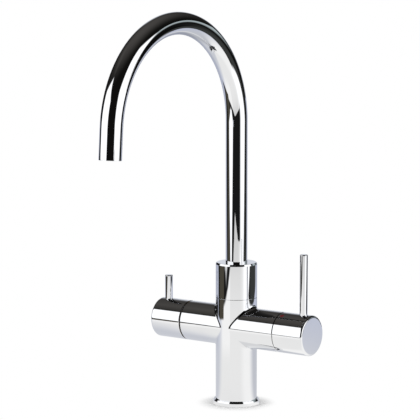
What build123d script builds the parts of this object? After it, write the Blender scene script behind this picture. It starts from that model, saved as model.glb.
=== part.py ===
from build123d import *
import os
from math import asin, cos, degrees, radians, sin

# A deck mounted kitchen tap with a swan neck spout. The short lever on the left arm opens
# boiling water, the long lever on the right arm opens cold or hot water.
# Lengths are in millimetres. +Z is up, the arms lie along X, the user stands at -Y.
# The origin is on the body's axis, in the plane that the tap stands on.

LEFT = -1
RIGHT = 1

# Clearances between pieces
fit_gap = 0.05          # pieces that are screwed or pushed together
running_gap = 0.08      # around a shaft or journal that turns
face_gap = 0.05         # between flat faces that turn or slide on each other
seal_gap = 0.1          # between a round sealing ring and the wall that it seals
tip_gap = 0.3           # around the tip of the stop screw
slot_side_gap = 0.1     # beside the tip of a handle screw in its slot
slot_end_gap = 0.3      # at the ends of that slot

# Body and arms
body_diameter = 45.0
body_foot_height = 3.0
body_length = 114.75
arm_step = 0.75         # the arms' radius is this much less than the body's
arm_axis_drop = 32.25
left_arm_reach = 60.6
right_arm_reach = 60.5
arm_blend_radius = 3.5
seam_chamfer = 0.3

# Ring and gasket under the body
base_ring_rim = 2.7
base_ring_height = 5.8
base_ring_round = 2.0
base_ring_opening_margin = 0.6
base_ring_lift = 0.3
gasket_thickness = 1.3
gasket_margin = 1.5
gasket_width = 4.5

# Threaded foot, space for the hoses and their ports
shank_thread_diameter = 34.0
shank_thread_length = 15.0
hose_space_wall = 4.3
hose_space_height = 37.0
port_thread_diameter = 8.8
port_thread_length = 10.0
port_circle_radius = 9.5
mixer_port_angle = 60.0
waterway_diameter = 5.0
boiling_feed_drop = 7.5
outlet_way_rise = 6.5

# Chambers in the arms and the cartridges that fill them
chamber_floor = 17.0
chamber_wall = 6.25
cartridge_seal_thickness = 1.5
cartridge_seal_margin = 1.5
cartridge_flange_thickness = 2.0
cartridge_base_depth = 2.5
cartridge_length = 27.5
cartridge_end_wall = 5.0
cartridge_wall = 3.25
disc_gap = 0.1
disc_thickness = 3.5
moving_disc_margin = 0.4
disc_mouth_radius = 7.4
disc_mouth_width = 6.0
disc_mouth_depth = 1.5
boiling_mouth_angle = 88.0
mixer_mouth_angle = 44.0
drive_tongue_width = 3.0
drive_tongue_length = 14.0
drive_tongue_depth = 1.2
spindle_drum_diameter = 19.0
spindle_shaft_diameter = 9.0
spindle_seal_section = 1.2
spindle_seal_setback = 2.5

# Nut that holds a cartridge and carries a handle
nut_bore = 10.4
nut_nose = 3.5
spanner_hole_diameter = 2.4
spanner_hole_depth = 3.0
spanner_hole_circle = 23.0
spring_pocket_gap = 0.7
spring_pocket_depth = 10.0
glide_ring_width = 3.0

# Handle caps
left_cap_gap = 1.9
right_cap_gap = 0.7
left_cap_length = 38.8
right_cap_length = 37.4
cap_wall = 2.55
cap_bore_depth = 19.0
cap_edge_round = 2.4
boss_diameter = 18.0
boss_recess = 4.0
drive_flats = 8.0
flat_down = 30.0
drive_end_room = 2.6
push_travel = 1.2

# Lever pins
lever_diameter = 8.5
lever_edge_round = 1.0
lever_seat_depth = 2.5
lever_stud_diameter = 6.0
lever_stud_length = 9.0
left_lever_length = 26.25
right_lever_length = 65.05
left_lever_inset = 9.6
right_lever_inset = 11.3

# Screws that hold the handles
handle_screw_diameter = 5.0
handle_screw_length = 4.4
handle_screw_tip_diameter = 3.0
handle_screw_tip_length = 1.0
handle_screw_setback = 8.0
handle_screw_access = 6.0
handle_key_flats = 2.5
handle_key_depth = 2.2

# Colour marks on the mixer handle
mark_diameter = 4.4
mark_depth = 0.6
mark_sink = 0.03
mark_setback = 4.8
mark_angle = 25.0

# Return spring behind the boiling handle
spring_wire = 0.8
spring_coil_diameter = 12.2
spring_turns = 5

# Spout
spout_diameter = 23.5
spout_wall = 1.25
spout_foot_lift = 11.75
riser_length = 180.0
bend_radius = 109.0
bend_angle = 176.0
outlet_run = 31.0
spout_tip_round = 0.3
inner_tube_diameter = 8.0
inner_tube_wall = 1.0

# Collar and spigot that carry the spout
collar_length = 38.6
collar_round = 2.2
collar_wall = 4.55
collar_roof = 8.0
spigot_journal_diameter = 26.0
spigot_bore = 19.0
spigot_pocket_depth = 19.75
spigot_foot_lift = 0.5
spigot_flange_height = 6.0
spigot_socket_wall = 2.7
spigot_socket_depth = 16.0
o_ring_section = 1.76
o_ring_groove_width = 2.3
lower_o_ring_lift = 3.8
o_ring_spacing = 4.5
glide_washer_thickness = 0.45
glide_washer_margin = 1.5
collar_seam_gap = 0.15
collar_seam_chamfer = 0.15

# Stop screw behind the body and its groove in the spigot
swing_limit = 70.0
stop_screw_drop = 5.75
stop_screw_diameter = 4.0
stop_screw_recess = 1.5
stop_tip_diameter = 2.8
stop_groove_depth = 1.5
stop_groove_spare = 1.5
collar_screw_lift = 3.3
collar_screw_recess = 1.0
small_key_flats = 2.0
small_key_depth = 1.8

# Socket of the boiling water tube in the body
inner_socket_depth = 4.0
inner_seal_section = 1.4
inner_seal_depth = 2.0

# Guide around the inner tube and the outlet nozzle
guide_height = 3.0
guide_lift = 1.0
guide_hub_wall = 1.2
guide_leg_width = 1.6
guide_legs = 3
nozzle_recess = 1.0
nozzle_length = 14.0
nozzle_plate_thickness = 3.0
nozzle_rim_wall = 1.0
nozzle_hub_wall = 1.2
nozzle_socket_depth = 8.0
nozzle_boiling_bore = 5.0
nozzle_jet_diameter = 2.0
nozzle_jets = 12

# Sizes that follow from the ones above
body_radius = body_diameter / 2
body_top_height = body_foot_height + body_length
base_ring_radius = body_radius + base_ring_rim
gasket_radius = base_ring_radius - gasket_margin
hose_space_top = body_foot_height + shank_thread_length + hose_space_height
arm_radius = body_radius - arm_step
arm_axis_height = body_top_height - arm_axis_drop
spout_radius = spout_diameter / 2
spout_bore_radius = spout_radius - spout_wall
chamber_radius = arm_radius - chamber_wall
cartridge_bore_radius = chamber_radius - fit_gap - cartridge_wall
disc_radius = cartridge_bore_radius - disc_gap
cartridge_start = chamber_floor + cartridge_seal_thickness
disc_start = cartridge_start + cartridge_flange_thickness + cartridge_base_depth
moving_disc_start = disc_start + disc_thickness + face_gap
spindle_start = moving_disc_start + disc_thickness + face_gap
cartridge_end = cartridge_start + cartridge_length
cap_bore_radius = arm_radius - cap_wall
spring_pocket_radius = (spring_coil_diameter + spring_wire) / 2 + spring_pocket_gap
spindle_radius = spindle_shaft_diameter / 2
journal_radius = spigot_journal_diameter / 2 - running_gap
inner_tube_radius = inner_tube_diameter / 2
spigot_pocket_floor = body_top_height - spigot_pocket_depth
lower_o_ring_height = spigot_pocket_floor + lower_o_ring_lift
upper_o_ring_height = lower_o_ring_height + o_ring_spacing
stop_screw_height = body_top_height - stop_screw_drop
collar_bottom_height = body_top_height + collar_seam_gap
flange_bottom_height = body_top_height + glide_washer_thickness + face_gap
collar_bore_radius = body_radius - collar_wall
collar_screw_height = collar_bottom_height + collar_screw_lift
spout_foot_height = flange_bottom_height + spout_foot_lift
spigot_socket_top = spout_foot_height + spigot_socket_depth
bend_start_height = spout_foot_height + riser_length
port_x = port_circle_radius * cos(radians(mixer_port_angle))
port_y = port_circle_radius * sin(radians(mixer_port_angle))
o_ring_radius = spigot_journal_diameter / 2 - seal_gap - o_ring_section / 2
stop_tip_start = journal_radius - stop_groove_depth + tip_gap
stop_shank_start = spigot_journal_diameter / 2 + tip_gap
nozzle_start = nozzle_recess + nozzle_length
spindle_seal_radius = spindle_radius + running_gap - seal_gap - spindle_seal_section / 2


def keep(solid, name):
    """Label a finished piece and write it to its own file."""
    solid.label = name
    export_step(solid, f"parts/{name}.step")


def arm_plane(side):
    """The plane across one arm at the body's axis: its normal points out, its x direction up."""
    return Plane(origin=(0, 0, arm_axis_height), x_dir=(0, 0, 1), z_dir=(side, 0, 0))


def radial_plane(side, along, angle=0.0):
    """A plane on an arm's axis, its normal pointing out at an angle from straight up to the front."""
    normal = (0, -sin(radians(angle)), cos(radians(angle)))
    return Plane(origin=(side * along, 0, arm_axis_height), x_dir=(1, 0, 0), z_dir=normal)


def arm_axis(side):
    """An arm's axis, pointing out from the body."""
    return Axis((0, 0, arm_axis_height), (side, 0, 0))


def rear_plane(height):
    """A plane through the body's axis at a height, its normal pointing to the back."""
    return Plane(origin=(0, 0, height), x_dir=(1, 0, 0), z_dir=(0, 1, 0))


def sealing_ring(section, ring_radius, height):
    """A round sealing ring about the body's axis: its centre circle's radius and height."""
    with BuildPart() as ring:
        with BuildSketch(Plane.XZ):
            with Locations((ring_radius, height)):
                Circle(section / 2)
        revolve(axis=Axis.Z)
    return ring.part


def port_places(side):
    """Centres of the waterways in a chamber's floor, in the arm plane, where x points up."""
    if side == RIGHT:
        return [(0, port_y), (0, -port_y), (outlet_way_rise, 0)]
    return [(-boiling_feed_drop, 0), (outlet_way_rise, 0)]


os.makedirs("parts", exist_ok=True)

# Base ring: a rounded ring with a ledge that the body's foot stands on
with BuildPart() as base_ring:
    with BuildSketch(Plane.XY.offset(base_ring_lift)):
        Circle(base_ring_radius)
    extrude(amount=base_ring_height - base_ring_lift)
    fillet(base_ring.edges().group_by(Axis.Z)[-1], base_ring_round)
    with BuildSketch(Plane.XY.offset(base_ring_lift)):
        Circle(shank_thread_diameter / 2 + base_ring_opening_margin)
    extrude(amount=base_ring_height, mode=Mode.SUBTRACT)
    with BuildSketch(Plane.XY.offset(body_foot_height)):
        Circle(body_radius + fit_gap)
    extrude(amount=base_ring_height, mode=Mode.SUBTRACT)
    with BuildSketch(Plane.XY.offset(base_ring_lift)):
        Circle(gasket_radius + fit_gap)
        Circle(gasket_radius - gasket_width - fit_gap, mode=Mode.SUBTRACT)
    extrude(amount=gasket_thickness - base_ring_lift, mode=Mode.SUBTRACT)
keep(base_ring.part, "base_ring")

# Base gasket: the rubber ring that meets the worktop
with BuildPart() as base_gasket:
    with BuildSketch():
        Circle(gasket_radius)
        Circle(gasket_radius - gasket_width, mode=Mode.SUBTRACT)
    extrude(amount=gasket_thickness)
keep(base_gasket.part, "base_gasket")

# Body: an upright cylinder with an arm on each side, bored for the valves and the spout
with BuildPart() as tap_body:
    with BuildSketch(Plane.XY.offset(body_foot_height)):
        Circle(body_radius)
    extrude(amount=body_length)
    for side, reach in ((LEFT, left_arm_reach), (RIGHT, right_arm_reach)):
        with BuildSketch(arm_plane(side)):
            Circle(arm_radius)
        extrude(amount=reach)
    corners = [e for e in tap_body.edges() if e.geom_type not in (GeomType.CIRCLE, GeomType.LINE)]
    fillet(corners, arm_blend_radius)
    rims = tap_body.edges().filter_by(GeomType.CIRCLE)
    chamfer([rims.sort_by(Axis.X)[0], rims.sort_by(Axis.X)[-1]], seam_chamfer)
    chamfer(rims.sort_by(Axis.Z)[-1], collar_seam_chamfer)

    # Threaded foot and the space above it for the hose ends
    with BuildSketch(Plane.XY.offset(body_foot_height)):
        Circle(shank_thread_diameter / 2)
    extrude(amount=shank_thread_length, mode=Mode.SUBTRACT)
    with BuildSketch(Plane.XY.offset(body_foot_height + shank_thread_length)):
        Circle(body_radius - hose_space_wall)
    extrude(amount=hose_space_height, mode=Mode.SUBTRACT)

    # Cold, hot and boiling ports, with waterways up to the chambers
    port_spots = [(port_x, -port_y), (port_x, port_y), (-port_circle_radius, 0)]
    way_tops = [arm_axis_height, arm_axis_height, arm_axis_height - boiling_feed_drop]
    for spot, top in zip(port_spots, way_tops):
        with BuildSketch(Plane.XY.offset(hose_space_top)):
            with Locations(spot):
                Circle(port_thread_diameter / 2)
        extrude(amount=port_thread_length, mode=Mode.SUBTRACT)
        with BuildSketch(Plane.XY.offset(hose_space_top)):
            with Locations(spot):
                Circle(waterway_diameter / 2)
        extrude(amount=top - hose_space_top, mode=Mode.SUBTRACT)

    # Valve chambers and the cross drillings from their floors
    for side, reach in ((LEFT, left_arm_reach), (RIGHT, right_arm_reach)):
        with BuildSketch(arm_plane(side).offset(chamber_floor)):
            Circle(chamber_radius)
        extrude(amount=reach, mode=Mode.SUBTRACT)
    for side, spot, inner_end in (
        (RIGHT, (0, port_y), port_x),
        (RIGHT, (0, -port_y), port_x),
        (RIGHT, (outlet_way_rise, 0), port_circle_radius),
        (LEFT, (-boiling_feed_drop, 0), port_circle_radius),
        (LEFT, (outlet_way_rise, 0), 0),
    ):
        with BuildSketch(arm_plane(side).offset(inner_end)):
            with Locations(spot):
                Circle(waterway_diameter / 2)
        extrude(amount=chamber_floor - inner_end, mode=Mode.SUBTRACT)

    # Pocket for the spout's spigot, fed by the mixed water way and the boiling water way
    with BuildSketch(Plane.XY.offset(spigot_pocket_floor)):
        Circle(spigot_journal_diameter / 2)
    extrude(amount=body_top_height, mode=Mode.SUBTRACT)
    with BuildSketch(Plane.XY.offset(arm_axis_height + outlet_way_rise)):
        with Locations((port_circle_radius, 0), (0, 0)):
            Circle(waterway_diameter / 2)
    extrude(amount=spigot_pocket_floor - arm_axis_height - outlet_way_rise, mode=Mode.SUBTRACT)
    with BuildSketch(Plane.XY.offset(spigot_pocket_floor)):
        Circle(inner_tube_radius + running_gap)
    extrude(amount=-inner_socket_depth, mode=Mode.SUBTRACT)
    with BuildSketch(Plane.XY.offset(spigot_pocket_floor)):
        Circle(inner_tube_radius + inner_seal_section + fit_gap + seal_gap)
    extrude(amount=-inner_seal_depth, mode=Mode.SUBTRACT)

    # Hole for the stop screw at the back
    with BuildSketch(rear_plane(stop_screw_height)):
        Circle(stop_screw_diameter / 2 + fit_gap)
    extrude(amount=body_diameter, mode=Mode.SUBTRACT)
keep(tap_body.part, "tap_body")

# Screw at the back of the body: its tip runs in the spigot's groove, which ends the spout's swing
with BuildPart() as spout_stop_screw:
    with BuildSketch(rear_plane(stop_screw_height).offset(stop_tip_start)):
        Circle(stop_tip_diameter / 2)
    extrude(amount=stop_shank_start - stop_tip_start)
    with BuildSketch(rear_plane(stop_screw_height).offset(stop_shank_start)):
        Circle(stop_screw_diameter / 2)
    extrude(amount=body_radius - stop_screw_recess - stop_shank_start)
    with BuildSketch(rear_plane(stop_screw_height).offset(body_radius - stop_screw_recess)):
        RegularPolygon(small_key_flats / 2, 6, major_radius=False)
    extrude(amount=-small_key_depth, mode=Mode.SUBTRACT)
keep(spout_stop_screw.part, "spout_stop_screw")

# Washer on the body's top, in a recess under the collar
with BuildPart() as spout_glide_washer:
    with BuildSketch(Plane.XY.offset(body_top_height)):
        Circle(body_radius - glide_washer_margin)
        Circle(spigot_journal_diameter / 2 + tip_gap, mode=Mode.SUBTRACT)
    extrude(amount=glide_washer_thickness)
keep(spout_glide_washer.part, "spout_glide_washer")

# Spigot: a journal that turns in the body, a flange for the collar and a socket for the tube
with BuildPart() as spout_spigot:
    spigot_foot = spigot_pocket_floor + spigot_foot_lift
    flange_top = flange_bottom_height + spigot_flange_height
    with BuildSketch(Plane.XY.offset(spigot_foot)):
        Circle(journal_radius)
    extrude(amount=flange_top - spigot_foot)
    with BuildSketch(Plane.XY.offset(flange_bottom_height)):
        Circle(collar_bore_radius - fit_gap)
    extrude(amount=spigot_flange_height)
    with BuildSketch(Plane.XY.offset(flange_top)):
        Circle(spout_radius + spigot_socket_wall)
    extrude(amount=spigot_socket_top - flange_top)
    with BuildSketch(Plane.XY.offset(spout_foot_height)):
        Circle(spout_radius + fit_gap)
    extrude(amount=spigot_socket_depth, mode=Mode.SUBTRACT)
    with BuildSketch(Plane.XY.offset(spigot_foot)):
        Circle(spigot_bore / 2)
    extrude(amount=spigot_socket_top - spigot_foot, mode=Mode.SUBTRACT)
    for ring_height in (lower_o_ring_height, upper_o_ring_height):
        with BuildSketch(Plane.XY.offset(ring_height - o_ring_groove_width / 2)):
            Circle(spigot_journal_diameter / 2)
            Circle(o_ring_radius - o_ring_section / 2 - fit_gap, mode=Mode.SUBTRACT)
        extrude(amount=o_ring_groove_width, mode=Mode.SUBTRACT)
    tip_half_angle = degrees(asin(stop_tip_diameter / 2 / stop_tip_start))
    groove_half_angle = swing_limit + tip_half_angle + stop_groove_spare
    with BuildSketch(Plane.XZ.rotated((0, 0, 90 - groove_half_angle))):
        with Locations((journal_radius, stop_screw_height)):
            Rectangle(2 * stop_groove_depth, stop_tip_diameter + 2 * tip_gap)
    revolve(axis=Axis.Z, revolution_arc=2 * groove_half_angle, mode=Mode.SUBTRACT)
keep(spout_spigot.part, "spout_spigot")

keep(sealing_ring(o_ring_section, o_ring_radius, lower_o_ring_height), "spigot_o_ring_lower")
keep(sealing_ring(o_ring_section, o_ring_radius, upper_o_ring_height), "spigot_o_ring_upper")
boiling_seal_height = spigot_pocket_floor - inner_seal_depth + inner_seal_section / 2 + face_gap
keep(sealing_ring(inner_seal_section, inner_tube_radius + seal_gap + inner_seal_section / 2,
                  boiling_seal_height), "boiling_tube_seal")

# Collar: the sleeve over the spigot, as wide as the body
with BuildPart() as spout_collar:
    with BuildSketch(Plane.XY.offset(collar_bottom_height)):
        Circle(body_radius)
    extrude(amount=collar_length)
    fillet(spout_collar.edges().sort_by(Axis.Z)[-1], collar_round)
    chamfer(spout_collar.edges().sort_by(Axis.Z)[0], collar_seam_chamfer)
    with BuildSketch(Plane.XY.offset(collar_bottom_height)):
        Circle(body_radius - glide_washer_margin + running_gap)
    extrude(amount=flange_bottom_height - collar_bottom_height, mode=Mode.SUBTRACT)
    with BuildSketch(Plane.XY.offset(collar_bottom_height)):
        Circle(collar_bore_radius)
    extrude(amount=collar_length - collar_roof, mode=Mode.SUBTRACT)
    with BuildSketch(Plane.XY.offset(collar_bottom_height)):
        Circle(spout_radius + fit_gap)
    extrude(amount=collar_length, mode=Mode.SUBTRACT)
    with BuildSketch(rear_plane(collar_screw_height)):
        Circle(stop_screw_diameter / 2 + fit_gap)
    extrude(amount=body_diameter, mode=Mode.SUBTRACT)
keep(spout_collar.part, "spout_collar")

# Screw at the back of the collar: it presses on the spigot's flange
with BuildPart() as collar_screw:
    screw_outer_end = body_radius - collar_screw_recess
    with BuildSketch(rear_plane(collar_screw_height).offset(collar_bore_radius)):
        Circle(stop_screw_diameter / 2)
    extrude(amount=screw_outer_end - collar_bore_radius)
    with BuildSketch(rear_plane(collar_screw_height).offset(screw_outer_end)):
        RegularPolygon(small_key_flats / 2, 6, major_radius=False)
    extrude(amount=-small_key_depth, mode=Mode.SUBTRACT)
keep(collar_screw.part, "collar_screw")


def swan_neck(foot_height, outer_radius, inner_radius, run):
    """A round tube: straight up from its foot, over in one arc, then a straight run to its end."""
    with BuildPart() as tube:
        with BuildLine(Plane.YZ):
            Line((0, foot_height), (0, bend_start_height))
            bend = CenterArc((-bend_radius, bend_start_height), bend_radius, 0, bend_angle)
            Line(bend @ 1, bend @ 1 + (bend % 1) * run)
        with BuildSketch(Plane.XY.offset(foot_height)):
            Circle(outer_radius)
            Circle(inner_radius, mode=Mode.SUBTRACT)
        sweep()
    return tube.part


# The mouth of the spout, with its normal pointing back up the tube
run_y = -sin(radians(bend_angle))
run_z = cos(radians(bend_angle))
tip_y = -bend_radius * (1 - cos(radians(bend_angle))) + outlet_run * run_y
tip_z = bend_start_height + bend_radius * sin(radians(bend_angle)) + outlet_run * run_z
mouth_plane = Plane(origin=(0, tip_y, tip_z), x_dir=(1, 0, 0), z_dir=(0, -run_y, -run_z))

# Spout tube
with BuildPart() as spout_tube:
    add(swan_neck(spout_foot_height, spout_radius, spout_bore_radius, outlet_run))
    fillet(spout_tube.edges().group_by(Axis.Y)[0].sort_by(SortBy.LENGTH)[-1], spout_tip_round)
keep(spout_tube.part, "spout_tube")

# Inner tube that keeps boiling water apart from the tap water
boiling_tube_foot = spigot_pocket_floor - inner_socket_depth + face_gap
boiling_tube_end = nozzle_start - nozzle_socket_depth + face_gap
keep(swan_neck(boiling_tube_foot, inner_tube_radius, inner_tube_radius - inner_tube_wall,
               outlet_run - boiling_tube_end), "boiling_tube")

# Guide that centres the inner tube in the spigot
with BuildPart() as boiling_tube_guide:
    with BuildSketch(Plane.XY.offset(spigot_pocket_floor + guide_lift)):
        Circle(inner_tube_radius + guide_hub_wall)
        with PolarLocations(0, guide_legs):
            Rectangle(spigot_bore / 2 - fit_gap, guide_leg_width, align=(Align.MIN, Align.CENTER))
        Circle(inner_tube_radius + fit_gap, mode=Mode.SUBTRACT)
    extrude(amount=guide_height)
keep(boiling_tube_guide.part, "boiling_tube_guide")

# Outlet nozzle: a ring of jets for tap water round a middle opening for boiling water
with BuildPart() as outlet_nozzle:
    hub_radius = inner_tube_radius + nozzle_hub_wall
    channel_radius = spout_bore_radius - fit_gap - nozzle_rim_wall
    with BuildSketch(mouth_plane.offset(nozzle_recess)):
        Circle(spout_bore_radius - fit_gap)
        Circle(nozzle_boiling_bore / 2, mode=Mode.SUBTRACT)
        with PolarLocations((hub_radius + channel_radius) / 2, nozzle_jets):
            Circle(nozzle_jet_diameter / 2, mode=Mode.SUBTRACT)
    extrude(amount=nozzle_length)
    with BuildSketch(mouth_plane.offset(nozzle_recess + nozzle_plate_thickness)):
        Circle(channel_radius)
        Circle(hub_radius, mode=Mode.SUBTRACT)
    extrude(amount=nozzle_length, mode=Mode.SUBTRACT)
    with BuildSketch(mouth_plane.offset(nozzle_start - nozzle_socket_depth)):
        Circle(inner_tube_radius + fit_gap)
    extrude(amount=nozzle_socket_depth, mode=Mode.SUBTRACT)
keep(outlet_nozzle.part, "outlet_nozzle")


def cartridge_seal(side):
    """Rubber pad between the chamber's floor and the cartridge, open at each waterway."""
    with BuildPart() as pad:
        with BuildSketch(arm_plane(side).offset(chamber_floor)):
            Circle(chamber_radius - cartridge_seal_margin)
            with Locations(*port_places(side)):
                Circle(waterway_diameter / 2, mode=Mode.SUBTRACT)
        extrude(amount=cartridge_seal_thickness)
    return pad.part


def cartridge_base(side):
    """Stepped plate at the inner end of the cartridge, which carries the fixed disc."""
    with BuildPart() as plate:
        with BuildSketch(arm_plane(side).offset(cartridge_start)):
            Circle(chamber_radius - fit_gap)
        extrude(amount=cartridge_flange_thickness)
        with BuildSketch(arm_plane(side).offset(cartridge_start)):
            Circle(cartridge_bore_radius - fit_gap)
        extrude(amount=disc_start - cartridge_start)
        with BuildSketch(arm_plane(side).offset(cartridge_start)):
            with Locations(*port_places(side)):
                Circle(waterway_diameter / 2)
        extrude(amount=disc_start - cartridge_start, mode=Mode.SUBTRACT)
    return plate.part


def cartridge_sleeve(side):
    """Sleeve round the discs, with an end wall that the spindle turns in."""
    sleeve_start = cartridge_start + cartridge_flange_thickness
    with BuildPart() as sleeve:
        with BuildSketch(arm_plane(side).offset(sleeve_start)):
            Circle(chamber_radius - fit_gap)
            Circle(spindle_radius + running_gap, mode=Mode.SUBTRACT)
        extrude(amount=cartridge_end - sleeve_start)
        with BuildSketch(arm_plane(side).offset(sleeve_start)):
            Circle(cartridge_bore_radius)
        extrude(amount=cartridge_end - cartridge_end_wall - sleeve_start, mode=Mode.SUBTRACT)
    return sleeve.part


def fixed_disc(side):
    """Ceramic disc that stands still, with a hole for each waterway."""
    with BuildPart() as disc:
        with BuildSketch(arm_plane(side).offset(disc_start)):
            Circle(disc_radius)
            with Locations(*port_places(side)):
                Circle(waterway_diameter / 2, mode=Mode.SUBTRACT)
        extrude(amount=disc_thickness)
    return disc.part


def moving_disc(side, mouth_angle):
    """Ceramic disc that the spindle turns: a curved mouth inside, a slot for the tongue outside."""
    with BuildPart() as disc:
        with BuildSketch(arm_plane(side).offset(moving_disc_start)):
            Circle(disc_radius - moving_disc_margin)
        extrude(amount=disc_thickness)
        with BuildSketch(arm_plane(side).offset(moving_disc_start)):
            SlotArc(CenterArc((0, 0), disc_mouth_radius, -mouth_angle, 2 * mouth_angle), disc_mouth_width)
        extrude(amount=disc_mouth_depth, mode=Mode.SUBTRACT)
        with BuildSketch(arm_plane(side).offset(spindle_start)):
            Rectangle(drive_tongue_length + 2 * fit_gap, drive_tongue_width + 2 * fit_gap)
        extrude(amount=-drive_tongue_depth - 2 * face_gap, mode=Mode.SUBTRACT)
    return disc.part


def spindle(side, reach, rim, travel):
    """Spindle: a tongue and drum in the cartridge, a round shaft, and a hexagon that turns the cap."""
    arm = arm_plane(side)
    hexagon_start = reach + nut_nose + face_gap
    hexagon_end = rim + cap_bore_depth - drive_end_room
    seal_place = cartridge_end - spindle_seal_setback
    screw_place = radial_plane(side, rim + handle_screw_setback, 180)
    with BuildPart() as shaft:
        with BuildSketch(arm.offset(spindle_start)):
            Rectangle(drive_tongue_length, drive_tongue_width)
        extrude(amount=-drive_tongue_depth)
        with BuildSketch(arm.offset(spindle_start)):
            Circle(spindle_drum_diameter / 2)
        extrude(amount=cartridge_end - cartridge_end_wall - face_gap - spindle_start)
        with BuildSketch(arm.offset(spindle_start)):
            Circle(spindle_radius)
        extrude(amount=hexagon_start - spindle_start)
        with BuildSketch(arm.offset(hexagon_start)):
            RegularPolygon(drive_flats / 2, 6, major_radius=False, rotation=flat_down)
        extrude(amount=hexagon_end - hexagon_start)
        chamfer(shaft.faces().sort_by(arm_axis(side))[-1].edges(), seam_chamfer)
        with BuildSketch(arm.offset(seal_place - spindle_seal_section / 2 - seal_gap)):
            Circle(spindle_radius + running_gap)
            Circle(spindle_seal_radius - spindle_seal_section / 2 - fit_gap, mode=Mode.SUBTRACT)
        extrude(amount=spindle_seal_section + 2 * seal_gap, mode=Mode.SUBTRACT)
        slot_width = handle_screw_tip_diameter + 2 * slot_side_gap
        slot_length = handle_screw_tip_diameter + travel + 2 * slot_end_gap
        with BuildSketch(screw_place.offset(drive_flats / 2)):
            with Locations((-side * travel / 2, 0)):
                SlotOverall(slot_length, slot_width)
        extrude(amount=-handle_screw_tip_length - face_gap, mode=Mode.SUBTRACT)
    return shaft.part


def spindle_seal(side):
    """Sealing ring of a spindle, in the cartridge's end wall."""
    seal_place = cartridge_end - spindle_seal_setback
    with BuildPart() as ring:
        with BuildSketch(Plane.XZ):
            with Locations((side * seal_place, arm_axis_height + spindle_seal_radius)):
                Circle(spindle_seal_section / 2)
        revolve(axis=arm_axis(RIGHT))
    return ring.part


def cartridge_nut(side, reach):
    """Nut that presses the cartridge home; its nose stands out of the arm."""
    nose = arm_plane(side).offset(reach + nut_nose)
    with BuildPart() as nut:
        with BuildSketch(nose):
            Circle(chamber_radius - fit_gap)
            Circle(nut_bore / 2, mode=Mode.SUBTRACT)
        extrude(amount=cartridge_end - reach - nut_nose)
        with BuildSketch(nose):
            with PolarLocations(spanner_hole_circle / 2, 2):
                Circle(spanner_hole_diameter / 2)
        extrude(amount=-spanner_hole_depth, mode=Mode.SUBTRACT)
        if side == LEFT:
            with BuildSketch(nose):
                Circle(spring_pocket_radius)
            extrude(amount=-spring_pocket_depth, mode=Mode.SUBTRACT)
    return nut.part


def glide_ring(side, reach):
    """Dark ring on the nut's nose that the cap's bore turns on; it shows in the seam."""
    with BuildPart() as ring:
        with BuildSketch(arm_plane(side).offset(reach)):
            Circle(cap_bore_radius - running_gap)
            Circle(chamber_radius, mode=Mode.SUBTRACT)
        extrude(amount=glide_ring_width)
    return ring.part


def handle_cap(side, rim, length, lever_place):
    """Cap with a boss that takes the spindle's hexagon, a screw hole below and a seat for the lever."""
    arm = arm_plane(side)
    below = radial_plane(side, rim + handle_screw_setback, 180)
    lever_seat = radial_plane(side, lever_place).offset(arm_radius - lever_seat_depth)
    with BuildPart() as cap:
        with BuildSketch(arm.offset(rim)):
            Circle(arm_radius)
        extrude(amount=length)
        fillet(cap.edges().filter_by(GeomType.CIRCLE).sort_by(arm_axis(side))[-1], cap_edge_round)
        chamfer(cap.edges().filter_by(GeomType.CIRCLE).sort_by(arm_axis(side))[0], seam_chamfer)
        with BuildSketch(arm.offset(rim)):
            Circle(cap_bore_radius)
        extrude(amount=boss_recess, mode=Mode.SUBTRACT)
        with BuildSketch(arm.offset(rim + boss_recess)):
            Circle(cap_bore_radius)
            Circle(boss_diameter / 2, mode=Mode.SUBTRACT)
            RegularPolygon(drive_flats / 2 + fit_gap, 6, major_radius=False, rotation=flat_down)
        extrude(amount=cap_bore_depth - boss_recess, mode=Mode.SUBTRACT)
        with BuildSketch(below):
            Circle(handle_screw_diameter / 2 + fit_gap)
        extrude(amount=boss_diameter, mode=Mode.SUBTRACT)
        with BuildSketch(below.offset(boss_diameter / 2)):
            Circle(handle_screw_access / 2)
        extrude(amount=arm_radius, mode=Mode.SUBTRACT)
        with BuildSketch(lever_seat):
            Circle(lever_diameter / 2 + fit_gap)
        extrude(amount=arm_radius, mode=Mode.SUBTRACT)
        with BuildSketch(lever_seat):
            Circle(lever_stud_diameter / 2 + fit_gap)
        extrude(amount=-lever_stud_length - face_gap, mode=Mode.SUBTRACT)
        if side == RIGHT:
            for angle in (mark_angle, -mark_angle):
                mark_place = radial_plane(side, rim + mark_setback, angle)
                with BuildSketch(mark_place.offset(arm_radius - mark_depth)):
                    Circle(mark_diameter / 2 + fit_gap)
                extrude(amount=arm_radius, mode=Mode.SUBTRACT)
    return cap.part


def handle_screw(side, rim):
    """Set screw in the cap's boss; its tip stands in the spindle's slot."""
    below = radial_plane(side, rim + handle_screw_setback, 180)
    shank_start = drive_flats / 2 + 2 * face_gap
    with BuildPart() as screw:
        with BuildSketch(below.offset(drive_flats / 2 - handle_screw_tip_length)):
            Circle(handle_screw_tip_diameter / 2)
        extrude(amount=handle_screw_tip_length + 2 * face_gap)
        with BuildSketch(below.offset(shank_start)):
            Circle(handle_screw_diameter / 2)
        extrude(amount=handle_screw_length)
        with BuildSketch(below.offset(shank_start + handle_screw_length)):
            RegularPolygon(handle_key_flats / 2, 6, major_radius=False)
        extrude(amount=-handle_key_depth, mode=Mode.SUBTRACT)
    return screw.part


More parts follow.
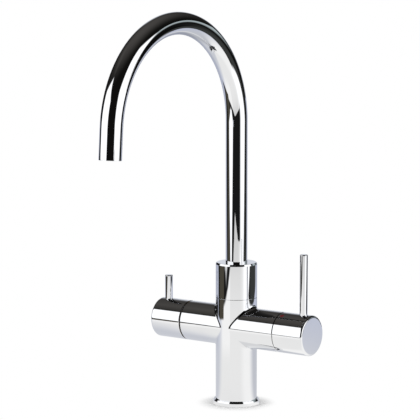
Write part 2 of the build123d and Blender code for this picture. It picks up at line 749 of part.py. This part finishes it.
def lever(side, lever_place, length):
    """Round pin that stands in the cap's seat, with a stud that screws into the cap."""
    seat = radial_plane(side, lever_place).offset(arm_radius - lever_seat_depth)
    with BuildPart() as pin:
        with BuildSketch(seat):
            Circle(lever_diameter / 2)
        extrude(amount=length + lever_seat_depth)
        fillet(pin.edges().sort_by(Axis.Z)[-1], lever_edge_round)
        with BuildSketch(seat):
            Circle(lever_stud_diameter / 2)
        extrude(amount=-lever_stud_length)
    return pin.part


# The valve and handle of each arm: boiling water on the left, cold and hot water on the right
for water, side, reach, cap_gap, cap_length, lever_inset, lever_length, travel, mouth_angle in (
    ("boiling", LEFT, left_arm_reach, left_cap_gap, left_cap_length, left_lever_inset,
     left_lever_length, push_travel, boiling_mouth_angle),
    ("mixer", RIGHT, right_arm_reach, right_cap_gap, right_cap_length, right_lever_inset,
     right_lever_length, 0, mixer_mouth_angle),
):
    rim = reach + cap_gap
    lever_place = rim + cap_length - lever_inset
    keep(cartridge_seal(side), f"{water}_cartridge_seal")
    keep(cartridge_base(side), f"{water}_cartridge_base")
    keep(cartridge_sleeve(side), f"{water}_cartridge_sleeve")
    keep(fixed_disc(side), f"{water}_fixed_disc")
    keep(moving_disc(side, mouth_angle), f"{water}_moving_disc")
    keep(spindle(side, reach, rim, travel), f"{water}_spindle")
    keep(spindle_seal(side), f"{water}_spindle_seal")
    keep(cartridge_nut(side, reach), f"{water}_cartridge_nut")
    keep(glide_ring(side, reach), f"{water}_glide_ring")
    keep(handle_cap(side, rim, cap_length, lever_place), f"{water}_handle_cap")
    keep(handle_screw(side, rim), f"{water}_handle_screw")
    keep(lever(side, lever_place, lever_length), f"{water}_lever")

# Spring between the left nut and the boiling cap: it holds the cap out until it is pushed in
with BuildPart() as boiling_return_spring:
    spring_foot = left_arm_reach + nut_nose - spring_pocket_depth + face_gap
    spring_head = left_arm_reach + left_cap_gap + boss_recess - face_gap
    coil_height = spring_head - spring_foot - spring_wire
    coil_start = (-spring_foot - spring_wire / 2, 0, arm_axis_height)
    spring_pitch = coil_height / spring_turns
    with BuildLine():
        coil = Helix(spring_pitch, coil_height, spring_coil_diameter / 2, coil_start, (-1, 0, 0))
    with BuildSketch(Plane(origin=coil @ 0, z_dir=coil % 0)):
        Circle(spring_wire / 2)
    sweep(is_frenet=True)
keep(boiling_return_spring.part, "boiling_return_spring")

# Colour marks in the mixer's cap: red towards the front, blue towards the back
for name, angle in (("hot_mark", mark_angle), ("cold_mark", -mark_angle)):
    mark_along = right_arm_reach + right_cap_gap + mark_setback
    with BuildPart() as mark:
        with BuildSketch(radial_plane(RIGHT, mark_along, angle).offset(arm_radius - mark_depth + face_gap)):
            Circle(mark_diameter / 2)
        extrude(amount=arm_radius)
        with BuildSketch(arm_plane(RIGHT)):
            Circle(arm_radius - mark_sink)
        extrude(amount=2 * mark_along, mode=Mode.INTERSECT)
    keep(mark.part, name)
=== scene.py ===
from math import cos, pi, radians, sin

import bpy
import numpy as np
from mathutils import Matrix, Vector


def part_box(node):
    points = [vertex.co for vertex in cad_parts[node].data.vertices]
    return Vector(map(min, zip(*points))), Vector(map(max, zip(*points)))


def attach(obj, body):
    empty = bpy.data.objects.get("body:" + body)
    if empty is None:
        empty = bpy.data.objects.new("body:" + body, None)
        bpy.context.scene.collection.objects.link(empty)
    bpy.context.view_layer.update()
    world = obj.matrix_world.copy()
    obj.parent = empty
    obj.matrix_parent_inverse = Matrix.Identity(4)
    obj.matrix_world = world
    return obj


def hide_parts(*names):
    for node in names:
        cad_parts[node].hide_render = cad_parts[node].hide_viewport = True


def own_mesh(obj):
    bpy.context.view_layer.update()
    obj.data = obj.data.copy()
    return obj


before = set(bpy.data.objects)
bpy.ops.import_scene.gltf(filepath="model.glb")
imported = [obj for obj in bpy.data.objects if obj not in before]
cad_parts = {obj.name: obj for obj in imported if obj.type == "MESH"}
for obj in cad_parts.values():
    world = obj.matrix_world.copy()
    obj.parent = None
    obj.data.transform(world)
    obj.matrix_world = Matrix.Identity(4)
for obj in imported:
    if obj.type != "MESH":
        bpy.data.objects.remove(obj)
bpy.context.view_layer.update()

# Metres, in the frame of the CAD model: +Z is up, the arms lie along X, the user stands at -Y.
# Headings are in degrees about Z: 0 looks to the back (+Y), 90 to the right (+X), 180 to the user.

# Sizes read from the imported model
body_low, body_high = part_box("tap_body")
tube_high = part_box("spout_tube")[1]
cap_low, cap_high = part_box("mixer_handle_cap")
short_low, short_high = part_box("boiling_lever")
long_low, long_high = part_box("mixer_lever")
body_radius = (body_high.y - body_low.y) / 2
tube_radius = tube_high.x
arm_radius = (cap_high.y - cap_low.y) / 2
arm_height = cap_high.z - arm_radius

# Threads in the foot: the fixing shank's, and those of the three hose ports on a circle round it
shank_radius, shank_pitch = 0.017, 0.0015
port_radius, port_pitch, port_circle = 0.0044, 0.001, 0.0095

# Chrome plate stops this deep below the outer surface, inside the foot and inside the arms
foot_skin, arm_skin = 0.0012, 0.001

# Outlet nozzle: its face lies below the straight run's start, with a bead round each opening
nozzle_face, nozzle_rim_radius, boiling_rim_radius = 0.03, 0.0098, 0.00275
jets, jet_circle, jet_rim_radius, bead_radius = 12, 0.00732, 0.00125, 0.00025

# Return spring behind the boiling handle
spring_wire, spring_turns = 0.0008, 6

# The middle of the tap, which the lamps face
middle_height = 0.15

# The swan neck's centre line: up, over one arc, then a short straight run
bend_radius = 0.109
bend_angle = radians(176)
bend_height = tube_high.z - tube_radius - bend_radius
run_start = (0, bend_radius * (cos(bend_angle) - 1), bend_height + bend_radius * sin(bend_angle))
run_direction = (0, -sin(bend_angle), cos(bend_angle))


class Wire:
    """An output socket of a shader tree. Arithmetic on it adds Math nodes to the tree."""

    def __init__(self, tree, socket=None):
        self.tree = tree
        self.socket = socket

    def add(self, kind, settings=None, inputs=None, output=0):
        """Adds a node: its settings first, then values or wires for its sockets."""
        node = self.tree.nodes.new("ShaderNode" + kind)
        for name, value in (settings or {}).items():
            setattr(node, name, value)
        for name, value in (inputs or {}).items():
            if isinstance(value, Wire):
                self.tree.links.new(value.socket, node.inputs[name])
            else:
                node.inputs[name].default_value = value
        return Wire(self.tree, node.outputs[output] if node.outputs else None)

    def maths(self, operation, first, second=0.0):
        return self.add("Math", {"operation": operation}, {0: first, 1: second})

    def __add__(self, other):
        return self.maths("ADD", self, other)

    def __mul__(self, other):
        return self.maths("MULTIPLY", self, other)

    def __sub__(self, other):
        return self.maths("SUBTRACT", self, other)

    def __rsub__(self, other):
        return self.maths("SUBTRACT", other, self)

    def __pow__(self, other):
        return self.maths("POWER", self, other)

    __radd__ = __add__
    __rmul__ = __mul__

    def most(self, other):
        return self.maths("MAXIMUM", self, other)

    def rises(self, low, high):
        """0 below low, 1 above high, smooth between them. With low above high it falls instead."""
        settings = {"interpolation_type": "SMOOTHSTEP"}
        return self.add("MapRange", settings, {"Value": self, "From Min": low, "From Max": high})

    def mix(self, first, second):
        """A colour that goes from the first to the second as this wire goes from 0 to 1."""
        return self.add("Mix", {"data_type": "RGBA"}, {0: self, 6: first, 7: second}, output=2)

    def turn(self, first, second):
        """A vector that goes from the first to the second as this wire goes from 0 to 1."""
        return self.add("Mix", {"data_type": "VECTOR"}, {0: self, 4: first, 5: second}, output=1)

    def vector(self, operation, *others, output=0):
        """Vector Math on this wire and the others."""
        return self.add("VectorMath", {"operation": operation}, dict(enumerate((self, *others))), output)

    def parts(self):
        """The x, y and z of a vector."""
        node = self.add("SeparateXYZ", inputs={0: self}).socket.node
        return [Wire(self.tree, socket) for socket in node.outputs]


def start_tree(owner):
    """Empties a material's or world's node tree and returns a wire to build on."""
    owner.use_nodes = True
    owner.node_tree.nodes.clear()
    return Wire(owner.node_tree)


def grey(level):
    """A neutral colour."""
    return (level, level, level, 1)


# Camera: fitted to the photograph's outlines
camera = bpy.data.objects.new("camera", bpy.data.cameras.new("camera"))
bpy.context.scene.collection.objects.link(camera)
camera.location = (1.27154, -1.82504, 0.50876)
camera.rotation_euler = (pi / 2 - radians(7.567), 0, radians(35.607))
camera.data.sensor_width = 36
camera.data.lens = 177.36
bpy.context.scene.camera = camera
bpy.context.scene.view_settings.view_transform = "Standard"


def seen_in_metal(tree):
    """1 for rays that left a shiny or a clear surface."""
    glossy = tree.add("LightPath", output="Is Glossy Ray")
    clear = tree.add("LightPath", output="Is Transmission Ray")
    return glossy.most(clear)


def studio_world():
    """The room by direction. The camera sees white and matt surfaces get plain even light. Polished metal
    mirrors a dark room with two soft boxes, a pale sweep behind the tap and a grey wall beside it."""
    world = bpy.data.worlds.new("studio")
    bpy.context.scene.world = world
    tree = start_tree(world)
    direction = tree.add("TexCoord", output="Generated")
    x, y, z = direction.parts()
    heading = tree.maths("ARCTAN2", x, y) * (180 / pi)
    rise = tree.maths("ARCSINE", z) * (180 / pi)
    # A faint warm glow from the ceiling, and a trace of haze high on the left
    ceiling = direction.vector("DOT_PRODUCT", (-0.264, 0.233, 0.914), output=1).rises(0.395, 1.49)
    haze = heading.rises(-146, -128) * heading.rises(-70, -100) * rise.rises(38, 46) * rise.rises(66, 52)
    # Soft boxes: each factor is one edge, leaning where it weighs rise against heading
    left_box = (
        (rise + 0.67 * heading).rises(-48.5, -52.5)
        * (rise - 0.42 * heading).rises(104, 100)
        * heading.rises(-180, -178)
        * heading.rises(-101, -110)
    )
    right_box = (
        heading.rises(45, 49)
        * (rise - 0.83 * heading).rises(-22.5, -27)
        * (rise + 0.47 * heading).rises(75.5, 70.5)
        * heading.rises(111, 106)
        * rise.rises(35.5, 31.5)
    )
    # Behind the tap: a grey wall to the right, and a pale sweep whose edge leans to the left
    wall = heading.rises(0, 8) * heading.rises(50, 45) * rise.rises(4, 12) * rise.rises(16.5, 14.5)
    sweep = heading.rises(-55, -42) * (heading + 1.5 * rise).rises(10, -28)
    room = (ceiling * 0.116 + haze * 0.0175 + 0.006).mix(grey(0), (1.05, 0.985, 0.91, 1))
    room = wall.mix(room, (0.455, 0.52, 0.53, 1))
    room = sweep.mix(room, (0.8, 0.825, 0.89, 1))
    room = left_box.most(right_box).mix(room, grey(1.36))
    light = seen_in_metal(tree).mix(grey(0.5), room)
    light = tree.add("LightPath", output="Is Camera Ray").mix(light, grey(1))
    background = tree.add("Background", inputs={"Color": light})
    tree.add("OutputWorld", inputs={"Surface": background})


def studio_floor():
    """The pale top that the tap stands on. The camera sees it go over to white. Metal mirrors its edges,
    the dark floor beyond them and the feet of the soft boxes."""
    half = 9.0
    corners = [(-half, -half, 0), (half, -half, 0), (half, half, 0), (-half, half, 0)]
    mesh = bpy.data.meshes.new("floor")
    mesh.from_pydata(corners, [], [(0, 1, 2, 3)])
    floor = bpy.data.objects.new("floor", mesh)
    bpy.context.scene.collection.objects.link(floor)
    material = bpy.data.materials.new("floor")
    mesh.materials.append(material)
    tree = start_tree(material)
    x, y, _ = tree.add("TexCoord", output="Object").parts()
    heading = tree.maths("ARCTAN2", x, y) * (180 / pi)
    distance = (x ** 2 + y ** 2) ** 0.5

    def beyond(square_to, away):
        """How far a place lies beyond the straight line that runs square to a heading, that far away."""
        return x * sin(radians(square_to)) + y * cos(radians(square_to)) - away

    # The pale top: each factor is one straight edge, and the window of headings in which it counts
    left_edge = beyond(-116, 0.523).rises(0.012, -0.012) * beyond(-131.6, 0.531).rises(0.012, -0.012)
    left_edge = left_edge.most(heading.rises(-139, -142)).most(heading.rises(100, 120))
    front_edge = beyond(-129.5, 0.622).rises(0.03, -0.03)
    far_front = heading.rises(-144.2, -145.6) * heading.rises(-166, -163) * distance.rises(0.92, 1.08)
    back_edge = beyond(49.5, 0.628).rises(0.015, -0.015)
    right_edge = beyond(153, 1.55).rises(0.03, -0.03) * beyond(119, 1.235).rises(0.015, -0.015)
    top = left_edge * front_edge.most(far_front) * back_edge * right_edge
    behind = beyond(16.8, -0.356).rises(-0.05, 0.05) * heading.rises(-98, -95) * heading.rises(14, 6)

    # The soft boxes' feet glow on the top
    left_foot = beyond(-90, 0.345).rises(-0.085, 0.085) * beyond(151.2, 0.5).rises(-0.06, 0.14)
    right_foot = beyond(135, 0.36).rises(-0.035, 0.05) * heading.rises(112, 98) * heading.rises(0, 40)

    # Painted light and shade on the top, with the tap's shadows in it: how bright the top is, by heading and
    # then also by distance, and its tint, cooler away from the front
    lit = 0.9 - heading.rises(-140, -96) * 0.24 - heading.rises(-62, -36) * 0.15
    lit = lit + heading.rises(-30, -5) * 0.1 + heading.rises(34, 76) * 0.39 - heading.rises(95, 130) * 0.1
    lit = lit + distance.rises(0.22, 0.45) * heading.rises(-118, -140) * 0.14
    lit = lit - distance.rises(0.25, 0.5) * heading.rises(-100, -84) * heading.rises(2, -8) * 0.15
    lit = lit - distance.rises(0.4, 1.5) * heading.rises(100, 130) * 0.23
    cool = distance.rises(0.2, 0.7).mix((0.965, 0.985, 1.05, 1), (0.9, 0.95, 1.14, 1))
    tint = (heading.rises(-140, -96) * heading.rises(75, 30)).mix((1.01, 1, 0.978, 1), cool)
    pale = lit.mix(grey(0), tint)

    # Nearly black beyond the top: brown at the front left, and grey that goes over to black behind
    brown = heading.rises(-144, -140) * heading.rises(-106, -112)
    dark = brown.mix(grey(0.01), (0.069, 0.062, 0.046, 1))
    deep = distance.rises(0.95, 1.3) * heading.rises(46, 34)
    back = deep.mix((0.042, 0.044, 0.042, 1), grey(0.004))
    dark = (heading.rises(-10, 5) * heading.rises(68, 60)).mix(dark, back)
    near_back = heading.rises(0, 5) * heading.rises(21, 13) * distance.rises(1.1, 0.95)
    dark = near_back.mix(dark, (0.29, 0.29, 0.31, 1))

    mirrored = top.most(behind).mix(dark, pale)
    mirrored = left_foot.most(right_foot).mix(mirrored, grey(1.2))
    painted = tree.add("Emission", inputs={"Color": mirrored, "Strength": 1.09})
    matt = tree.add("BsdfDiffuse", inputs={"Color": grey(0.9)})
    white = tree.add("Emission", inputs={"Color": grey(1)})
    on_camera = tree.add("LightPath", output="Is Camera Ray")
    shown = tree.add("MixShader", inputs={0: on_camera * distance.rises(0.0235, 0.046), 1: matt, 2: white})
    shown = tree.add("MixShader", inputs={0: seen_in_metal(tree), 1: shown, 2: painted})
    tree.add("OutputMaterial", inputs={"Surface": shown})


def soft_lamp(name, heading, rise, distance, size, power):
    """A square lamp that faces the middle of the tap. Metal mirrors the studio, not the lamp."""
    lamp = bpy.data.objects.new(name, bpy.data.lights.new(name, "AREA"))
    bpy.context.scene.collection.objects.link(lamp)
    lamp.data.size = size
    lamp.data.energy = power
    lamp.location = (
        distance * cos(radians(rise)) * sin(radians(heading)),
        distance * cos(radians(rise)) * cos(radians(heading)),
        distance * sin(radians(rise)) + middle_height,
    )
    lamp.rotation_euler = (pi / 2 - radians(rise), 0, pi - radians(heading))
    lamp.visible_glossy = False
    lamp.visible_camera = False


studio_world()
studio_floor()
soft_lamp("left_lamp", -145, 38, 1.9, 0.9, 17)
soft_lamp("right_lamp", 80, 38, 1.9, 0.9, 17)


def new_material(name):
    """A new material, the wire of its tree and the place on the object in metres."""
    material = bpy.data.materials.new(name)
    tree = start_tree(material)
    return material, tree, tree.add("TexCoord", output="Object")


def cover(tree, inputs):
    """Ends a material with one Principled shader."""
    shader = tree.add("BsdfPrincipled", inputs=inputs)
    tree.add("OutputMaterial", inputs={"Surface": shader})


def speckle(place, scale, detail):
    """Even noise from 0 to 1 with about scale grains to the metre."""
    return place.add("TexNoise", inputs={"Vector": place, "Scale": scale, "Detail": detail})


def around(place, axis, centre):
    """The exact normal of a round bar whose axis runs through a centre."""
    offset = place.vector("SUBTRACT", centre)
    return offset.vector("SUBTRACT", offset.vector("PROJECT", axis)).vector("NORMALIZE")


def around_neck(place):
    """The exact normal of the swan neck: of the riser, of the arc and of the run at its end."""
    from_bend = place.vector("SUBTRACT", (0, -bend_radius, bend_height))
    in_plane = from_bend.vector("MULTIPLY", (0, 1, 1)).vector("NORMALIZE")
    centre_line = in_plane.vector("MULTIPLY", (bend_radius, bend_radius, bend_radius))
    normal = from_bend.vector("SUBTRACT", centre_line).vector("NORMALIZE")
    _, y, z = from_bend.parts()
    past = from_bend.vector("DOT_PRODUCT", run_direction, output=1)
    past = past.maths("GREATER_THAN", past, 0.0)
    normal = past.turn(normal, around(place, run_direction, run_start))
    riser = z.maths("LESS_THAN", z, 0.0) * y.maths("GREATER_THAN", y, 0.0)
    return riser.turn(normal, around(place, (0, 0, 1), (0, 0, 0)))


def rounded(place, forms, edge=None):
    """The mesh's normal in the world, made exact where it lies within two degrees of a round form. Where
    edge is set, the soft upper edge of an upright round piece is polished to a bevel at that angle, with a
    crisp rim."""
    normal = place.add("TexCoord", output="Normal")
    for exact in forms:
        agreement = normal.vector("DOT_PRODUCT", exact, output=1)
        normal = agreement.rises(0.9990, 0.9996).turn(normal, exact)
    if edge:
        level = normal.parts()[2]
        leaning = forms[0].vector("MULTIPLY_ADD", (cos(edge), cos(edge), 0), (0, 0, sin(edge)))
        normal = level.rises(0.02, 0.1).turn(normal, level.rises(0.84, 0.9).turn(leaning, (0, 0, 1)))
    settings = {"vector_type": "NORMAL", "convert_from": "OBJECT", "convert_to": "WORLD"}
    return normal.add("VectorTransform", settings, {0: normal})


def chrome(name, round_forms, bare=None, painted_shade=None, edge=None):
    """Polished chrome with a trace of haze and waviness. From the place on the piece, round_forms gives
    exact normals, bare gives where the brass below is left unplated, and painted_shade gives where painted
    shade makes the chrome near black, and rougher."""
    material, tree, place = new_material(name)
    haze = speckle(place, 22, 3).rises(0.45, 0.75)
    grain = speckle(place, 900, 2)
    roughness = 0.012 + haze * 0.016 + grain * 0.01
    colour = haze.mix((0.8, 0.81, 0.83, 1), (0.78, 0.79, 0.812, 1))
    normal = rounded(place, round_forms(place), edge)
    ripple = {"Strength": 0.03, "Distance": 0.001, "Height": speckle(place, 60, 1), "Normal": normal}
    wave = tree.add("Bump", inputs=ripple)
    if bare:
        inside = bare(place)
        cut = speckle(place, 700, 4)
        colour = inside.mix(colour, cut.mix((0.62, 0.44, 0.2, 1), (0.8, 0.62, 0.33, 1)))
        roughness = roughness + inside * (0.22 + cut * 0.15)
    # Painted shade: the chrome goes near black along this mask, and rougher
    if painted_shade:
        shaded = painted_shade(place)
        colour = shaded.mix(colour, grey(0.015))
        roughness = roughness + shaded * 0.3
    cover(tree, {"Base Color": colour, "Metallic": 1.0, "Roughness": roughness, "Normal": wave})
    return material


def machined(name, colour, shade, roughness, along):
    """Turned metal: fine tool rings about the axis along, cut by slight changes of feed."""
    material, tree, place = new_material(name)
    across = place.vector("DOT_PRODUCT", along, output=1)
    radius = place.vector("SUBTRACT", place.vector("PROJECT", along)).vector("LENGTH", output=1)
    rings = tree.add("CombineXYZ", inputs={0: across * 9000, 1: radius * 9000, 2: 0.0})
    groove = tree.add("TexNoise", inputs={"Vector": rings, "Scale": 0.35, "Detail": 2.0})
    stain = speckle(place, 120, 3)
    normal = tree.add("Bump", inputs={"Strength": 0.25, "Distance": 0.00004, "Height": groove})
    inputs = {
        "Base Color": stain.mix(shade, colour),
        "Metallic": 1.0,
        "Roughness": roughness + groove * 0.14 + stain * 0.05,
        "Normal": normal,
    }
    cover(tree, inputs)
    return material


def moulded(name, colour, roughness, grain_scale, grain_depth, coat=0.0):
    """Moulded rubber or plastic, lapped ceramic or enamel: fine grain, and a slight change of tone."""
    material, tree, place = new_material(name)
    grain = speckle(place, grain_scale, 2)
    tone = speckle(place, 90, 3)
    normal = tree.add("Bump", inputs={"Strength": 0.3, "Distance": grain_depth, "Height": grain})
    darker = tuple(0.82 * part for part in colour[:3]) + (1,)
    inputs = {
        "Base Color": tone.mix(darker, colour),
        "Roughness": roughness + grain * 0.1 + tone * 0.06,
        "Coat Weight": coat,
        "Coat Roughness": 0.05,
        "Normal": normal,
    }
    cover(tree, inputs)
    return material


def upright_bar(centre=(0, 0, 0)):
    """The round form of an upright bar, as chrome takes it."""
    return lambda place: [around(place, (0, 0, 1), centre)]


def body_forms(place):
    """The body's column and its two arms."""
    return [around(place, (0, 0, 1), (0, 0, 0)), around(place, (1, 0, 0), (0, 0, arm_height))]


def arm_forms(place):
    """The caps carry on the arms' round form."""
    return [around(place, (1, 0, 0), (0, 0, arm_height))]


def neck_forms(place):
    """The swan neck."""
    return [around_neck(place)]


def within(place, axis, centre, radius):
    """1 nearer than a radius to an axis through a centre, 0 farther off."""
    offset = place.vector("SUBTRACT", centre)
    away = offset.vector("SUBTRACT", offset.vector("PROJECT", axis)).vector("LENGTH", output=1)
    soft = 0.0002
    return away.rises(radius + soft, radius - soft)


def inside_body(place):
    """1 where the foot and the arms are hollow, which the plating doesn't reach."""
    foot = within(place, (0, 0, 1), (0, 0, 0), body_radius - foot_skin)
    return foot.most(within(place, (1, 0, 0), (0, 0, arm_height), arm_radius - arm_skin))


def crease(place):
    """1 along the upper part of the line where each arm runs into the body: where painted shade darkens the
    chrome.
    """
    x, _, z = place.parts()
    up = z - arm_height
    beside = (up ** 2 + (body_radius ** 2 - arm_radius ** 2)) ** 0.5
    off_line = x.maths("ABSOLUTE", x) - beside
    on_line = off_line.maths("ABSOLUTE", off_line).rises(0.0013, 0.0008)
    return on_line * up.rises(0.0002, 0.0016) * inside_body(place).rises(1, 0)


def lever_centre(low, high):
    """The middle of an upright lever, from the corners of its box."""
    return ((low.x + high.x) / 2, 0, 0)


brass = (0.78, 0.62, 0.33, 1)
dark_brass = (0.66, 0.48, 0.22, 1)
steel_colour = (0.62, 0.63, 0.65, 1)
dark_steel = (0.5, 0.51, 0.53, 1)

# By node name where a piece has its own, otherwise by the slot's name
finishes = {
    "base_ring": chrome("chrome_ring", upright_bar(), edge=radians(18)),
    # The body's chrome carries painted shade along the creases where the arms meet it
    "tap_body": chrome("chrome_body", body_forms, inside_body, crease),
    "spout_collar": chrome("chrome_collar", upright_bar(), edge=radians(20)),
    "spout_tube": chrome("chrome_neck", neck_forms),
    "mixer_handle_cap": chrome("chrome_caps", arm_forms),
    "mixer_lever": chrome("chrome_long_lever", upright_bar(lever_centre(long_low, long_high))),
    "boiling_lever": chrome("chrome_short_lever", upright_bar(lever_centre(short_low, short_high))),
    "spout_spigot": machined("brass_upright", brass, dark_brass, 0.2, (0, 0, 1)),
    "brass": machined("brass_across", brass, dark_brass, 0.2, (1, 0, 0)),
    "steel": machined("steel", steel_colour, dark_steel, 0.16, (0, 0, 1)),
    "rubber": moulded("rubber", (0.03, 0.03, 0.032, 1), 0.55, 4000, 0.00005),
    "dark_plastic": moulded("dark_plastic", (0.05, 0.05, 0.055, 1), 0.35, 2500, 0.00003),
    "pale_plastic": moulded("pale_plastic", (0.82, 0.82, 0.8, 1), 0.35, 2500, 0.00003),
    "nozzle_plastic": moulded("nozzle_plastic", (0.12, 0.12, 0.13, 1), 0.3, 3000, 0.00002),
    "ceramic": moulded("ceramic", (0.9, 0.9, 0.87, 1), 0.12, 6000, 0.00001),
    "red_enamel": moulded("red_enamel", (0.14, 0.012, 0.016, 1), 0.2, 1500, 0.00001, 0.6),
    "blue_enamel": moulded("blue_enamel", (0.03, 0.2, 0.6, 1), 0.2, 1500, 0.00001, 0.6),
}
finishes["boiling_handle_cap"] = finishes["mixer_handle_cap"]

for name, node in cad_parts.items():
    for slot in node.material_slots:
        slot.material = finishes.get(name) or finishes[slot.material.name]


def surface(name, points, body, finish, closed=False):
    """A closed mesh from a grid of points whose second way is a loop. The first way is a loop too where
    closed is set, and has a cap at each end otherwise."""
    rows, ring, _ = points.shape
    here = np.arange(rows * ring).reshape(rows, ring)
    along = np.roll(here, -1, axis=1)
    ahead = np.roll(here, -1, axis=0)
    across = np.roll(along, -1, axis=0)
    faces = np.stack([here, along, across, ahead], axis=-1)
    faces = faces[: rows if closed else rows - 1].reshape(-1, 4).tolist()
    if not closed:
        faces += [here[0, ::-1].tolist(), here[-1].tolist()]
    mesh = bpy.data.meshes.new(name)
    mesh.from_pydata(points.reshape(-1, 3).tolist(), [], faces)
    mesh.shade_smooth()
    mesh.materials.append(finish)
    piece = bpy.data.objects.new(name, mesh)
    bpy.context.scene.collection.objects.link(piece)
    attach(piece, body)
    return piece


def inner_thread(name, centre, radius, low, high, pitch, finish):
    """The ridge of a thread in a bore. Its place turns about the bore's axis while it climbs one pitch a
    turn. Across it runs a tooth that is rooted in the wall and leans in to a flat crest. It runs out at both
    ends."""
    turns = (high - low) / pitch - 1
    turned = np.linspace(0, 2 * pi * turns, int(60 * turns))[:, None]
    half_turns_from_end = np.minimum(turned, 2 * pi * turns - turned) / pi
    run_out = np.clip(half_turns_from_end, 0.04, 1)
    tooth = np.array([[-0.1, -0.46], [0.54, -0.1], [0.54, 0.1], [-0.1, 0.46]])
    reach = radius - tooth[:, 0] * pitch * run_out
    height = low + pitch / 2 + turned * pitch / (2 * pi) + tooth[:, 1] * pitch
    points = [centre[0] + reach * np.cos(turned), centre[1] + reach * np.sin(turned), height]
    return surface(name, np.stack(points, axis=-1), "tap_body", finish)


def coil_spring(name, low, high, coil_radius, wire, turns, finish):
    """A round wire carried along a helix about the arms' axis. The pitch narrows to one wire over the end
    turns, so that they close, and its running sum gives the place along X."""
    turned = np.linspace(0, turns, 48 * turns + 1)
    from_end = np.minimum(turned, turns - turned)
    closed = 0.6
    open_share = np.clip((from_end - closed) / closed, 0, 1)
    dead = wire / (high - low - wire) * turns
    pitch = dead + (1 - dead) * open_share / open_share.mean()
    along = np.concatenate([[0], np.cumsum((pitch[1:] + pitch[:-1]) / 2)])
    along = (low + wire / 2 + (high - low - wire) * along / along[-1])[:, None]
    angle = 2 * pi * turned[:, None]
    round_wire = np.linspace(0, 2 * pi, 10, endpoint=False)[None, :]
    reach = coil_radius + wire / 2 * np.cos(round_wire)
    along = along - wire / 2 * np.sin(round_wire)
    points = [along, reach * np.cos(angle), arm_height + reach * np.sin(angle)]
    return surface(name, np.stack(points, axis=-1), "boiling_spindle", finish)


def rim_bead(name, across, beside, radius, finish):
    """A round bead on the nozzle's face: a circle of the bead's own radius carried round a circle of the
    given radius. Its middle lies across and beside the nozzle's axis, along X and in the plane of the
    spout."""
    sideways = np.array((1, 0, 0))
    down = np.array(run_direction)
    forward = np.cross(down, sideways)
    sections = int(16 + 9000 * radius)
    around_rim = np.linspace(0, 2 * pi, sections, endpoint=False)[:, None, None]
    around_bead = np.linspace(0, 2 * pi, 8, endpoint=False)[None, :, None]
    reach = radius - bead_radius * np.cos(around_bead)
    points = np.array(run_start) + nozzle_face * down + across * sideways + beside * forward
    points = points + reach * (np.cos(around_rim) * sideways + np.sin(around_rim) * forward)
    points = points + bead_radius * np.sin(around_bead) * down
    return surface(name, points, "spout", finish, closed=True)


brass_thread = finishes["spout_spigot"]
inner_thread("foot_thread", (0, 0), shank_radius, 0.003, 0.018, shank_pitch, brass_thread)
for port, heading in (("cold", 150), ("hot", 30), ("boiling", -90)):
    centre = (port_circle * sin(radians(heading)), port_circle * cos(radians(heading)))
    inner_thread(port + "_port_thread", centre, port_radius, 0.055, 0.065, port_pitch, brass_thread)

# The return spring: a coil in the CAD spring's place, on the boiling spindle's body and with a mesh of its
# own, while the CAD spring is hidden
spring_low, spring_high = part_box("boiling_return_spring")
coil_radius = (spring_high.z - spring_low.z - spring_wire) / 2
ends = (spring_low.x, spring_high.x)
spring = coil_spring("return_coil", *ends, coil_radius, spring_wire, spring_turns, finishes["steel"])
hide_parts("boiling_return_spring")
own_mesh(spring)

nozzle_finish = finishes["nozzle_plastic"]
rim_bead("boiling_rim", 0, 0, boiling_rim_radius, nozzle_finish)
rim_bead("nozzle_rim", 0, 0, nozzle_rim_radius, nozzle_finish)
for jet in range(jets):
    turned = 2 * pi * jet / jets
    place = (jet_circle * cos(turned), jet_circle * sin(turned))
    rim_bead(f"jet_rim_{jet + 1}", *place, jet_rim_radius, nozzle_finish)
